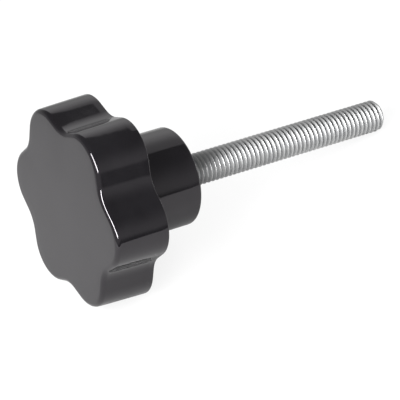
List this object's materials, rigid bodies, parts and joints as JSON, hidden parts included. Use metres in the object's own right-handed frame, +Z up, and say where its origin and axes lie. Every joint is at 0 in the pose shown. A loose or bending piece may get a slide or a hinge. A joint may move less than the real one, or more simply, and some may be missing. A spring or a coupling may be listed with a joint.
{
  "type": "six-arm knob",
  "caption": "Black lobed hand knob with a flat front face and a round hub, moulded onto a zinc-plated threaded steel stud, for clamping or adjusting by hand.",
  "frame": {"origin": "centre of the hub's seat face, on the knob's axis, where the stud comes out", "axes": "+Z up; +X level, along the length from the head to the stud's end. The knob lies at rest, so its axis drops 13.81 degrees below +X towards the stud's end, in the XZ plane."},
  "size_m": [0.0942, 0.05, 0.0468],
  "materials": {
    "black_moulding": "black thermoset moulding, polished gloss",
    "plated_steel": "bright zinc plating over a rolled thread"
  },
  "bodies": {
    "root": {"knob_body": "black_moulding", "threaded_stud": "plated_steel"}
  },
  "joints": []
}
